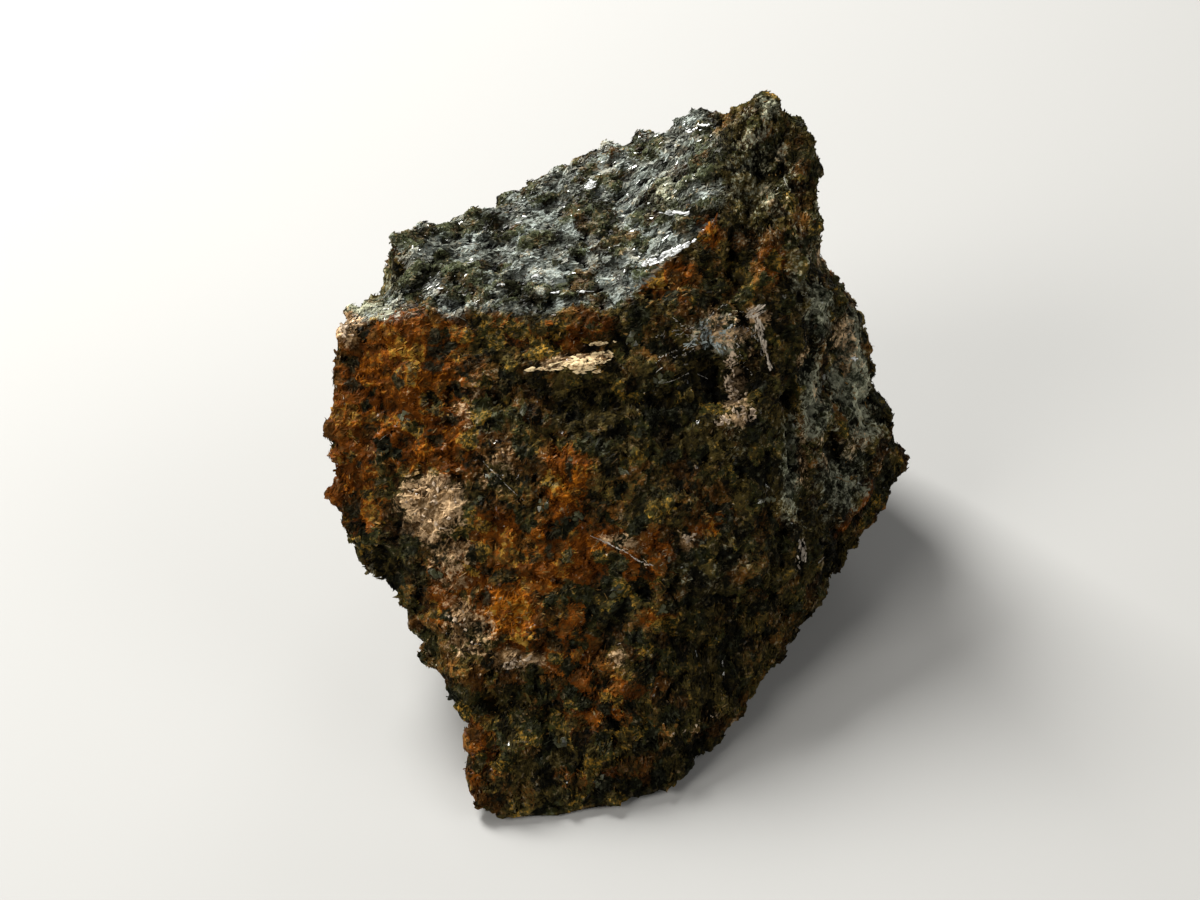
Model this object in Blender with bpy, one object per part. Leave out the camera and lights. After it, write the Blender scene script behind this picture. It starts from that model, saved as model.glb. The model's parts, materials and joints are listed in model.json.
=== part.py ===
"""Raw nuummite: one broken lump of dark, bladed amphibole rock, about 43 mm across."""
import bmesh
import bpy
import numpy as np
from mathutils import Vector

MM = 0.001

# How finely the relief is carved, and how many triangles are left of it.
CARVE_STEP = 0.36
TRIANGLES = 9600
FOOT_CUT = 0.12

# A point inside the stone from which every corner below can be seen.
HEART = Vector((1.5, 24.5, 14.0))

# Corners of the broken faces in mm, measured from the floor under the front foot.
CORNERS = {
    "front_ridge": [
        (-18.7, 25.2, 25.0), (-14.7, 25.2, 25.7), (-9.7, 25.6, 26.1), (-4.6, 25.9, 26.4),
        (0.4, 25.6, 26.1), (2.8, 26.9, 27.4), (6.8, 29.1, 28.9), (7.2, 31.1, 30.2),
        (8.7, 32.5, 30.9), (8.7, 35.0, 32.8), (9.8, 37.8, 34.6), (11.7, 38.2, 36.5),
    ],
    "peak_right": [
        (13.4, 37.8, 35.2), (15.7, 35.8, 32.9), (15.9, 34.3, 31.3), (15.2, 32.5, 30.2),
        (15.6, 30.6, 28.3), (14.9, 29.4, 25.7),
    ],
    "shelf_back": [(-18.1, 26.9, 24.9), (-15.2, 28.0, 25.0)],
    "plateau_rim": [
        (-15.4, 32.6, 27.5), (-11.5, 34.4, 27.1), (-7.5, 36.4, 27.7), (-4.1, 38.5, 28.5),
        (-0.3, 40.3, 29.5), (3.5, 41.4, 30.6), (6.7, 41.0, 31.0), (8.5, 39.9, 32.6),
    ],
    "right_corner": [
        (13.5, 27.1, 24.8), (12.4, 23.7, 22.2), (13.9, 21.9, 18.9), (13.6, 18.3, 14.6),
        (15.0, 17.1, 10.6), (17.3, 17.3, 5.1),
    ],
    "right_shoulder": [
        (18.3, 38.6, 17.9), (20.1, 37.0, 15.6), (21.6, 34.7, 13.3), (22.9, 31.9, 11.2),
        (23.1, 30.2, 10.2), (24.1, 28.2, 8.9), (23.0, 25.9, 6.7), (22.0, 24.2, 5.6),
        (19.5, 19.8, 4.8),
    ],
    "front_foot": [
        (15.9, 15.0, 4.2), (13.1, 12.2, 3.1), (11.8, 10.0, 1.3), (7.6, 5.2, 0.7),
        (5.1, 2.4, 0.7), (-0.1, 0.9, 0.6), (-3.6, 0.2, 0.4), (-7.5, 0.0, 0.5),
        (-8.8, 0.4, 0.9),
    ],
    "left_edge": [
        (-9.4, 2.9, 3.5), (-9.8, 5.1, 5.2), (-10.7, 6.7, 6.1), (-11.8, 8.7, 7.5),
        (-13.7, 11.2, 9.6), (-14.3, 12.4, 11.6), (-16.7, 13.8, 12.2), (-17.8, 14.8, 13.2),
        (-18.5, 16.6, 15.0), (-19.4, 18.6, 17.0), (-19.0, 20.2, 19.3), (-18.6, 22.1, 21.2),
        (-19.2, 23.4, 22.5),
    ],
    "front_face": [
        (-10.4, 14.3, 16.3), (0.0, 15.9, 18.6), (7.0, 19.6, 20.8), (2.8, 8.7, 10.0),
        (-9.8, 6.5, 7.7), (-4.9, 7.0, 8.6), (7.1, 7.3, 5.0),
    ],
    "foot": [
        (-6.5, 2.5, 0.0), (-1.0, 2.0, 0.0), (6.5, 6.5, 0.0), (11.5, 12.5, 0.0),
        (14.0, 21.0, 0.0), (12.0, 31.0, 0.0), (4.0, 35.0, 0.0), (-6.0, 33.0, 0.0),
        (-9.0, 24.0, 0.0), (-8.0, 12.0, 0.0),
    ],
    "back": [
        (-16.2, 33.4, 20.4), (-17.6, 27.6, 13.0), (-12.6, 37.6, 10.0), (-7.2, 41.2, 19.6),
        (2.6, 43.8, 22.6), (11.2, 43.2, 21.6), (14.6, 39.2, 27.6), (14.2, 42.2, 8.6),
        (-2.0, 42.4, 6.4), (19.8, 36.2, 6.6), (-13.6, 25.4, 4.6), (-9.8, 34.6, 2.4),
        (5.0, 39.8, 2.0), (13.6, 36.2, 2.2),
    ],
}

# Chips of broken rock: size across, rise or fall, and slope of each, in mm.
CHIPS = [(7.5, 0.42, 0.08), (3.4, 0.30, 0.16), (1.9, 0.15, 0.20)]
PEAK_SHARES = (-0.35, 0.2, 0.9)
BEVEL = 0.5
SET_BACK = 0.16

# Thin layers that show on the sides and back: size across, height, rise or fall, slope.
LAYERS = (6.0, 2.1, 0.42, 0.06)

# Sheets of the top: thickness in mm, and how fast they are cut going right and going back.
SHEET = 0.62
SHEET_CUT = (-0.11, 0.30)

# Hollows in the faces: middle, reach along x, y and z, and depth, all in mm.
HOLLOWS = [
    ((9.2, 22.3, 22.2), (2.7, 1.6, 1.5), 1.25),
    ((5.0, 21.6, 22.0), (1.6, 1.4, 1.3), 0.55),
    ((-7.6, 30.4, 26.6), (1.1, 0.7, 1.5), 0.75),
    ((-12.2, 30.8, 26.8), (0.9, 0.8, 1.5), 0.65),
    ((-0.6, 32.2, 27.4), (1.5, 0.6, 1.5), 0.75),
    ((3.0, 30.0, 27.8), (1.0, 0.6, 1.5), 0.60),
    ((5.6, 36.6, 30.6), (0.9, 1.2, 1.5), 0.90),
    ((1.2, 37.2, 29.2), (1.2, 0.7, 1.5), 0.55),
    ((-17.6, 17.2, 15.8), (0.9, 1.1, 1.3), 0.50),
    ((13.0, 35.0, 32.0), (0.9, 0.9, 1.0), 0.60),
    ((10.9, 30.6, 28.9), (0.8, 1.2, 1.3), 0.45),
    ((20.6, 30.0, 12.6), (1.6, 2.2, 1.8), 0.80),
    ((18.0, 24.0, 12.0), (1.5, 2.0, 2.4), 0.70),
]

# Ledges: one end, the other end, reach below the edge, and how far the edge stands out.
LEDGES = [
    ((3.4, 24.4, 25.2), (12.2, 26.4, 25.2), 1.5, 0.75),
    ((-10.4, 7.0, 7.7), (-4.6, 7.4, 8.9), 1.3, 0.60),
    ((-14.6, 25.4, 25.6), (-3.8, 25.9, 26.4), 0.9, 0.40),
    ((3.6, 4.9, 4.4), (10.4, 9.6, 3.0), 1.3, 0.55),
    ((-18.2, 18.8, 18.4), (-11.8, 17.0, 18.8), 1.2, 0.30),
]

table = np.random.default_rng(41).random((4096, 4))


def clear_scene():
    for thing in list(bpy.data.objects):
        bpy.data.objects.remove(thing)


def star_mesh(name, heart, corners):
    """Joins the corners into one closed skin, as the hull of their directions seen from the heart."""
    form = bmesh.new()
    places = {}
    for corner in corners:
        vert = form.verts.new((corner - heart).normalized())
        places[vert] = corner
    bmesh.ops.convex_hull(form, input=list(form.verts))
    for vert, corner in places.items():
        vert.co = corner * MM
    bmesh.ops.recalc_face_normals(form, faces=form.faces)
    mesh = bpy.data.meshes.new(name)
    form.to_mesh(mesh)
    form.free()
    return mesh


def with_modifier(mesh, kind, **settings):
    """A new mesh: this one after one modifier."""
    thing = bpy.data.objects.new("blank", mesh)
    bpy.context.scene.collection.objects.link(thing)
    modifier = thing.modifiers.new(kind, kind)
    for name, value in settings.items():
        setattr(modifier, name, value)
    graph = bpy.context.evaluated_depsgraph_get()
    made = bpy.data.meshes.new_from_object(thing.evaluated_get(graph))
    bpy.data.objects.remove(thing)
    return made


def drawn(cells, seed):
    """Four random numbers from 0 to 1 for each whole-numbered cell."""
    x, y, z = cells.astype(np.int64).T
    mixed = (x * 73856093) ^ (y * 19349663) ^ (z * 83492791) ^ (seed * 40503)
    return table[mixed % len(table)]


def swell(points, size, seed):
    """Smooth noise from -1 to 1, three numbers for each point."""
    cells = np.floor(points / size)
    part = points / size - cells
    part = part * part * (3 - 2 * part)
    total = 0
    for corner in np.ndindex(2, 2, 2):
        weight = np.prod(np.where(corner, part, 1 - part), axis=1, keepdims=True)
        total = total + weight * drawn(cells + corner, seed)[:, :3]
    return 2 * total - 1


def ramp(values, low, high):
    """0 below low, 1 above high, smooth between."""
    part = np.clip((values - low) / (high - low), 0, 1)
    return part * part * (3 - 2 * part)


def chips(points, size, rise, slope, seed):
    """Flat, tilted chips with ragged, bevelled borders: the height at each point."""
    bent = points + 0.35 * size * swell(points, 0.8 * size, seed + 1)
    cells = np.floor(bent / size)
    nearest = np.full(len(points), np.inf)
    second = nearest.copy()
    height = np.zeros(len(points))
    beside = height.copy()
    for step in np.ndindex(3, 3, 3):
        cell = cells + step - 1
        seat = (cell + drawn(cell, seed)[:, :3]) * size
        away = np.linalg.norm(bent - seat, axis=1)
        lean = (2 * drawn(cell, seed + 2)[:, :3] - 1) * slope
        lift = (2 * drawn(cell, seed)[:, 3] - 1) * rise
        here = lift + ((points - seat) * lean).sum(axis=1)
        first = away < nearest
        next_best = ~first & (away < second)
        beside = np.where(first, height, np.where(next_best, here, beside))
        second = np.where(first, nearest, np.where(next_best, away, second))
        height = np.where(first, here, height)
        nearest = np.where(first, away, nearest)
    share = 0.5 + 0.5 * ramp(second - nearest, 0, BEVEL)
    return share * height + (1 - share) * beside


def sheets(points):
    """Steps of thin sheets on the top, each with its broken edge to the front."""
    rough = 0.35 * swell(points, 5.0, 21)[:, 0] + 0.22 * swell(points, 1.7, 22)[:, 0]
    along = points[:, 0] * SHEET_CUT[0] + points[:, 1] * SHEET_CUT[1] + rough
    along = along / SHEET
    return (np.floor(along) - along + 0.5) * SHEET


def hollow(points, middle, reach, depth, seed):
    """A pit with a ragged rim: negative inside, 0 outside."""
    near = (points - middle) / reach
    away = np.sqrt((near ** 2).sum(axis=1)) + 0.3 * swell(points, 1.1, seed)[:, 0]
    return -depth * (1 - ramp(away, 0.45, 1.1))


def ledge(points, start, end, reach, stand, seed):
    """An edge that stands out and falls back below its line."""
    start = np.array(start)
    along = np.array(end) - start
    length = np.linalg.norm(along)
    part = (points - start) @ along / length ** 2
    line = start + np.clip(part, 0, 1)[:, None] * along
    down = line[:, 2] - points[:, 2] + 0.3 * swell(points, 1.3, seed)[:, 0]
    away = np.linalg.norm(points - line, axis=1)
    near = 1 - ramp(away, reach, 2 * reach)
    ends = ramp(part, -0.12, 0.08) * (1 - ramp(part, 0.92, 1.12))
    return stand * near * ends * (0.5 - ramp(down, -0.15, 0.25))


def relief(points, facing):
    """How far each point stands out, in mm."""
    top = ramp(facing[:, 2], 0.72, 0.86) * ramp(points[:, 2], 24.0, 25.0)
    front = ramp(-facing[:, 1], 0.45, 0.62) * (1 - top)
    peak = ramp(points[:, 2], 27.5, 30.5) * ramp(points[:, 0], 7.0, 9.0)
    height = np.zeros(len(points))
    for number, (size, rise, slope) in enumerate(CHIPS):
        share = 1 - 0.5 * front - 0.5 * top + PEAK_SHARES[number] * peak
        height += share * chips(points, size, rise, slope, 10 * number)
    size, thick, rise, slope = LAYERS
    flat = points * (1, 1, size / thick)
    side = (1 - top) * (1 - front) + 0.5 * front * ramp(points[:, 2], 22.0, 24.0)
    height += side * chips(flat, size, rise, slope, 50)
    height += top * sheets(points)
    for number, (middle, reach, depth) in enumerate(HOLLOWS):
        height += hollow(points, middle, reach, depth, 60 + number)
    for number, (start, end, reach, stand) in enumerate(LEDGES):
        height += ledge(points, start, end, reach, stand, 80 + number)
    grooved = np.clip(front * (1 - ramp(points[:, 2], 6.0, 9.0)) + peak, 0, 1)
    height += 0.28 * grooved * swell(points / (1.0, 2.8, 2.8), 1.15, 31)[:, 0]
    low = ramp(points[:, 2], 0.0, 1.2)
    under = 0.9 * ramp(swell(points, 7.0, 33)[:, 0], 0.25, 0.55)
    return low * (height - SET_BACK) - (1 - low) * under


def carve(mesh):
    """Moves every vertex along its line from the heart by the relief there."""
    count = len(mesh.vertices)
    points = np.empty(count * 3)
    facing = np.empty(count * 3)
    mesh.vertices.foreach_get("co", points)
    mesh.vertex_normals.foreach_get("vector", facing)
    points = points.reshape(-1, 3) / MM
    facing = facing.reshape(-1, 3)
    ray = points - np.array(HEART)
    ray /= np.linalg.norm(ray, axis=1, keepdims=True)
    points += ray * relief(points, facing)[:, None]
    mesh.vertices.foreach_set("co", (points * MM).ravel())
    mesh.update()


def with_foot(mesh):
    """Cuts the underside level and sets the origin under the middle of the stone."""
    form = bmesh.new()
    form.from_mesh(mesh)
    everything = form.verts[:] + form.edges[:] + form.faces[:]
    bmesh.ops.bisect_plane(
        form, geom=everything, dist=0.02 * MM, plane_co=(0, 0, FOOT_CUT * MM),
        plane_no=(0, 0, 1), clear_inner=True,
    )
    rim = [edge for edge in form.edges if edge.is_boundary]
    bmesh.ops.triangle_fill(form, edges=rim, use_beauty=True, normal=(0, 0, -1))
    bmesh.ops.recalc_face_normals(form, faces=form.faces)
    low = [min(vert.co[axis] for vert in form.verts) for axis in range(3)]
    high = [max(vert.co[axis] for vert in form.verts) for axis in range(3)]
    middle = Vector(((low[0] + high[0]) / 2, (low[1] + high[1]) / 2, low[2]))
    bmesh.ops.translate(form, verts=form.verts, vec=-middle)
    print("moved by", [round(value / MM, 3) for value in middle])
    form.to_mesh(mesh)
    form.free()


def stone_material():
    material = bpy.data.materials.new("dark_stone")
    material.use_nodes = True
    shader = material.node_tree.nodes["Principled BSDF"]
    shader.inputs["Base Color"].default_value = (0.07, 0.048, 0.03, 1)
    shader.inputs["Roughness"].default_value = 0.55
    shader.inputs["Metallic"].default_value = 0.0
    return material


def main():
    clear_scene()
    corners = [Vector(corner) for group in CORNERS.values() for corner in group]
    rough = star_mesh("rough", HEART, corners)
    fine = with_modifier(rough, "REMESH", mode="VOXEL", voxel_size=CARVE_STEP * MM)
    carve(fine)
    ratio = TRIANGLES / (2 * len(fine.polygons))
    mesh = with_modifier(fine, "DECIMATE", ratio=ratio)
    with_foot(mesh)
    mesh.materials.append(stone_material())
    stone = bpy.data.objects.new("nuummite", mesh)
    bpy.context.scene.collection.objects.link(stone)


main()
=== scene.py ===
import json
import math
import bmesh
import bpy
import numpy as np
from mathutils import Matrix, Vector
from mathutils.bvhtree import BVHTree

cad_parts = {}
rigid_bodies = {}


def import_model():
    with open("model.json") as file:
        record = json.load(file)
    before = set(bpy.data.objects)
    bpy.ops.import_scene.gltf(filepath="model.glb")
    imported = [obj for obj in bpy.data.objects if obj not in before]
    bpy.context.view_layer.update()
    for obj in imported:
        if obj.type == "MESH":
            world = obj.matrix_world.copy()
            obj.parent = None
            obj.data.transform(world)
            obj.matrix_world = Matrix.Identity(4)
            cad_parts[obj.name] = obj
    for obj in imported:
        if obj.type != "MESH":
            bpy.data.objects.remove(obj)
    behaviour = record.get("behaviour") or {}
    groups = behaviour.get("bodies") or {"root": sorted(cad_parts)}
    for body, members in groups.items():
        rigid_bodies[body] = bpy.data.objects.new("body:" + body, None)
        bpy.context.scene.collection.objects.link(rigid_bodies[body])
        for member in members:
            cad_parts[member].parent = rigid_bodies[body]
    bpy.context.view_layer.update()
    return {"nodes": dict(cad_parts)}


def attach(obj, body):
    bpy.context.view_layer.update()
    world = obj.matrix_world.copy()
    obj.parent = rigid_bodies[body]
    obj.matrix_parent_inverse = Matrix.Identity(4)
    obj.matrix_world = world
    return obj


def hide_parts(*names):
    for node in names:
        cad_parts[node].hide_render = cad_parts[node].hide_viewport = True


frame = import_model()
mm = 0.001
cadStone = frame["nodes"]["nuummite"]
print("frame loaded")

# camera

cameraSetup = {
    "middle": (-2.44, -3.81, 18.88),  # the point that it looks at, mm
    "away": 116.7,  # mm
    "tilt": 45.0,  # degrees looking down
    "lens": 50.0,
    "clip": (0.002, 20),  # m
}
pictureWide = 1200  # the photograph's pixels, by which places on the stone are given
pictureHigh = 900


def addCamera(setup):
    data = bpy.data.cameras.new("viewCamera")
    data.lens = setup["lens"]
    data.clip_start, data.clip_end = setup["clip"]
    camera = bpy.data.objects.new("viewCamera", data)
    tilt = math.radians(setup["tilt"])
    look = Vector((0, math.cos(tilt), -math.sin(tilt)))
    camera.location = (Vector(setup["middle"]) - look * setup["away"]) * mm
    camera.rotation_euler = (math.radians(90 - setup["tilt"]), 0, 0)
    bpy.context.scene.collection.objects.link(camera)
    bpy.context.scene.camera = camera
    bpy.context.view_layer.update()
    return camera


camera = addCamera(cameraSetup)
cameraSpot = camera.matrix_world.translation.copy()
cameraTurn = camera.matrix_world.to_3x3()
right, upward, toward = (np.array(cameraTurn.col[axis]) for axis in range(3))
pixelLens = camera.data.lens / camera.data.sensor_width * pictureWide


def pixelRay(u, v):
    # the way from the camera through a pixel of the photograph
    across = (u - pictureWide / 2) / pixelLens
    up = (pictureHigh / 2 - v) / pixelLens
    return (cameraTurn @ Vector((across, up, -1))).normalized()


# small tools

luckTable = np.random.default_rng(7).random((4096, 4))
cellPrimes = (73856093, 19349663, 83492791)  # large primes mix a cell's numbers into one
seedPrime = 40503


def cellLuck(cells, seed):
    x, y, z = (cells.astype(np.int64) * cellPrimes).T
    return luckTable[(x ^ y ^ z ^ (seed * seedPrime)) % len(luckTable)]


def softNoise(points, size, seed):
    # smooth noise from -1 to 1, three numbers a point
    cells = np.floor(points / size)
    part = points / size - cells
    part = part * part * (3 - 2 * part)
    total = 0
    for corner in np.ndindex(2, 2, 2):
        weight = np.prod(np.where(corner, part, 1 - part), axis=1, keepdims=True)
        total = total + weight * cellLuck(cells + corner, seed)[:, :3]
    return 2 * total - 1


def banded(points, size, long, way, seed):
    # smooth noise drawn out along a direction, one number a point
    way = way / np.linalg.norm(way)
    along = (points @ way)[:, None] * way
    return softNoise(points - along * (1 - 1 / long), size, seed)[:, 0]


def ramp(values, low, high):
    part = np.clip((values - low) / (high - low), 0, 1)
    return part * part * (3 - 2 * part)


def readRows(items, name, wide=3, kind=np.float32):
    # what each of a mesh's items says, a row for each
    values = np.empty(len(items) * wide, kind)
    items.foreach_get(name, values)
    return values.reshape(-1, wide)


def vertexArrays(mesh):
    # places in mm, and normals
    points = readRows(mesh.vertices, "co").astype(float) / mm
    return points, readRows(mesh.vertex_normals, "vector").astype(float)


def softened(mesh, values, rounds):
    # values averaged over the neighbouring points, again and again
    first, second = readRows(mesh.edges, "vertices", 2, np.int32).T
    count = len(mesh.vertices)
    shared = np.bincount(first, minlength=count) + np.bincount(second, minlength=count)

    def gathered(column):
        return np.bincount(first, column[second], count) + np.bincount(second, column[first], count)

    for number in range(rounds):
        total = np.stack([gathered(column) for column in values.T], axis=1)
        values = 0.4 * values + 0.6 * total / shared[:, None]
    return values


def storeField(mesh, name, values):
    kind, part = ("FLOAT", "value") if values.ndim == 1 else ("FLOAT_VECTOR", "vector")
    field = mesh.attributes.get(name) or mesh.attributes.new(name, kind, "POINT")
    field.data.foreach_set(part, values.astype(np.float32).ravel())


def meshFrom(form, name):
    mesh = bpy.data.meshes.new(name)
    form.to_mesh(mesh)
    form.free()
    return mesh


def newPiece(name, mesh):
    piece = bpy.data.objects.new(name, mesh)
    bpy.context.scene.collection.objects.link(piece)
    return piece


def settled(piece):
    # the piece with its modifiers applied to its mesh, and gone
    graph = bpy.context.evaluated_depsgraph_get()
    mesh = bpy.data.meshes.new_from_object(
        piece.evaluated_get(graph), preserve_all_data_layers=True, depsgraph=graph)
    piece.modifiers.clear()
    old = piece.data
    piece.data = mesh
    bpy.data.meshes.remove(old)
    return piece


def triangleCount(mesh):
    return sum(len(face.vertices) - 2 for face in mesh.polygons)


def surfaceTree(mesh):
    # finds where a ray meets the mesh
    return BVHTree.FromPolygons([point.co.copy() for point in mesh.vertices],
                                [tuple(face.vertices) for face in mesh.polygons])


class Wire:
    # one node socket; arithmetic on it adds Math nodes
    def __init__(self, web, socket):
        self.web = web
        self.socket = socket

    def __add__(self, other):
        return self.web.sum("ADD", self, other)

    def __sub__(self, other):
        return self.web.sum("SUBTRACT", self, other)

    def __rsub__(self, other):
        return self.web.sum("SUBTRACT", other, self)

    def __mul__(self, other):
        return self.web.sum("MULTIPLY", self, other)

    def __truediv__(self, other):
        return self.web.sum("DIVIDE", self, other)

    __radd__ = __add__
    __rmul__ = __mul__


class Web:
    # a node tree, for materials and for Geometry Nodes alike; sizes come in mm
    def __init__(self, tree):
        self.tree = tree

    def plug(self, socket, value):
        if isinstance(value, Wire):
            self.tree.links.new(value.socket, socket)
        else:
            socket.default_value = value

    def add(self, kind, settings=None, inputs=None, out=0):
        made = self.tree.nodes.new(kind)
        for name, value in (settings or {}).items():
            setattr(made, name, value)
        for name, value in (inputs or {}).items():
            self.plug(made.inputs[name], value)
        return Wire(self, made.outputs[out])

    def sum(self, operation, *values):
        return self.add("ShaderNodeMath", {"operation": operation}, dict(enumerate(values)))

    def vector(self, operation, *values, out=0):
        return self.add("ShaderNodeVectorMath", {"operation": operation}, dict(enumerate(values)), out)

    def dot(self, first, second):
        return self.vector("DOT_PRODUCT", first, second, out="Value")

    def stretch(self, vector, factor):
        return self.add("ShaderNodeVectorMath", {"operation": "SCALE"}, {0: vector, "Scale": factor})

    def blend(self, factor, first, second):
        return self.add("ShaderNodeMix", {"data_type": "RGBA"}, {0: factor, 6: first, 7: second}, 2)

    def dim(self, colour, shade):
        grey = self.add("ShaderNodeCombineColor", None, {0: shade, 1: shade, 2: shade})
        return self.add("ShaderNodeMix", {"data_type": "RGBA", "blend_type": "MULTIPLY"},
                        {0: 1.0, 6: colour, 7: grey}, 2)

    def step(self, value, low, high):
        return self.add("ShaderNodeMapRange", {"interpolation_type": "SMOOTHSTEP"},
                        {"Value": value, "From Min": low, "From Max": high})

    def noise(self, place, size, detail=3.0, rough=0.55, out="Fac"):
        return self.add("ShaderNodeTexNoise", None, {
            "Vector": place, "Scale": 1 / (size * mm), "Detail": detail, "Roughness": rough}, out)

    def cells(self, place, size, feature="F1", out="Distance"):
        return self.add("ShaderNodeTexVoronoi", {"feature": feature},
                        {"Vector": place, "Scale": 1 / (size * mm)}, out)

    def bend(self, vector, place, size, reach):
        # the vector moved about by noise of a size, within a reach
        shift = self.vector("SUBTRACT", self.noise(place, size, 2.0, out="Color"), (0.5, 0.5, 0.5))
        return self.vector("ADD", vector, self.stretch(shift, reach * mm))

    def field(self, name, kind="FLOAT"):
        # what is stored on a mesh, for Geometry Nodes
        return self.add("GeometryNodeInputNamedAttribute", {"data_type": kind}, {"Name": name})

    def mark(self, name):
        # what is stored on a mesh, for a material
        return self.add("ShaderNodeAttribute", {"attribute_name": name}, None, "Fac")

    def luck(self, low, high, seed, kind="FLOAT"):
        lowest, highest, out = {"FLOAT": (2, 3, 1), "FLOAT_VECTOR": (0, 1, 0), "INT": (4, 5, 2)}[kind]
        return self.add("FunctionNodeRandomValue", {"data_type": kind},
                        {lowest: low, highest: high, "Seed": seed}, out)


def geometryTree(name, floats, numbers=()):
    # a Geometry Nodes group with named inputs; gives its web, its inputs, and what closes it
    tree = bpy.data.node_groups.new(name, "GeometryNodeTree")
    tree.interface.new_socket("Geometry", in_out="INPUT", socket_type="NodeSocketGeometry")
    for labels, kind in ((floats, "NodeSocketFloat"), (numbers, "NodeSocketInt")):
        for label in labels:
            tree.interface.new_socket(label, in_out="INPUT", socket_type=kind)
    tree.interface.new_socket("Geometry", in_out="OUTPUT", socket_type="NodeSocketGeometry")
    web = Web(tree)
    entering = tree.nodes.new("NodeGroupInput")
    leaving = tree.nodes.new("NodeGroupOutput")
    given = {socket.name: Wire(web, socket) for socket in entering.outputs if socket.name}

    def close(geometry, material):
        real = web.add("GeometryNodeRealizeInstances", None, {"Geometry": geometry})
        covered = web.add("GeometryNodeSetMaterial", None, {"Geometry": real, "Material": material})
        web.plug(leaving.inputs[0], covered)
        return tree

    return web, given, close


def grown(piece, tree, values):
    # the piece with a Geometry Nodes tree applied to its mesh, its inputs set to the values
    modifier = piece.modifiers.new(tree.name, "NODES")
    modifier.node_group = tree
    for item in tree.interface.items_tree:
        if item.item_type == "SOCKET" and item.in_out == "INPUT" and item.name in values:
            modifier[item.identifier] = values[item.name]
    return settled(piece)


# where things are on the stone

def mergedCopy(source, name):
    form = bmesh.new()
    form.from_mesh(source.data)
    bmesh.ops.remove_doubles(form, verts=form.verts, dist=1e-7)
    return meshFrom(form, name)


stoneMesh = mergedCopy(cadStone, "stoneBody")
cadTree = surfaceTree(stoneMesh)
pixelSize = 0.07  # mm on the stone
stainDepth = 4.0  # mm, how far a stain reaches along the camera's line of sight
stainEdge = (0.25, 1.35)  # shares of its reach: whole inside the first, gone past the second


def pixelSeat(tree, u, v):
    # the point under the photograph's pixel and which way the surface faces there
    ray = pixelRay(u, v)
    seat = tree.ray_cast(cameraSpot, ray)
    if seat[0] is None:
        seat = tree.find_nearest(cameraSpot + ray * cameraSetup["away"] * mm)
    return seat[:2]


def stain(points, places, seed, ragged):
    # 0 to 1: how far inside any of the ragged places a point is
    bent = points + ragged * (softNoise(points, 2.2, seed) + 0.7 * softNoise(points, 0.9, seed + 1))
    total = np.zeros(len(points))
    for u, v, wide, high, turn, strength in places.values():
        turn = math.radians(turn)
        along = math.cos(turn) * right + math.sin(turn) * upward
        across = -math.sin(turn) * right + math.cos(turn) * upward
        near = bent - np.array(pixelSeat(cadTree, u, v)[0]) / mm
        away = np.sqrt((near @ along / (wide * pixelSize)) ** 2 + (near @ across / (high * pixelSize)) ** 2
                       + (near @ toward / stainDepth) ** 2)
        total = np.maximum(total, strength * (1 - ramp(away, *stainEdge)))
    return total


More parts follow.
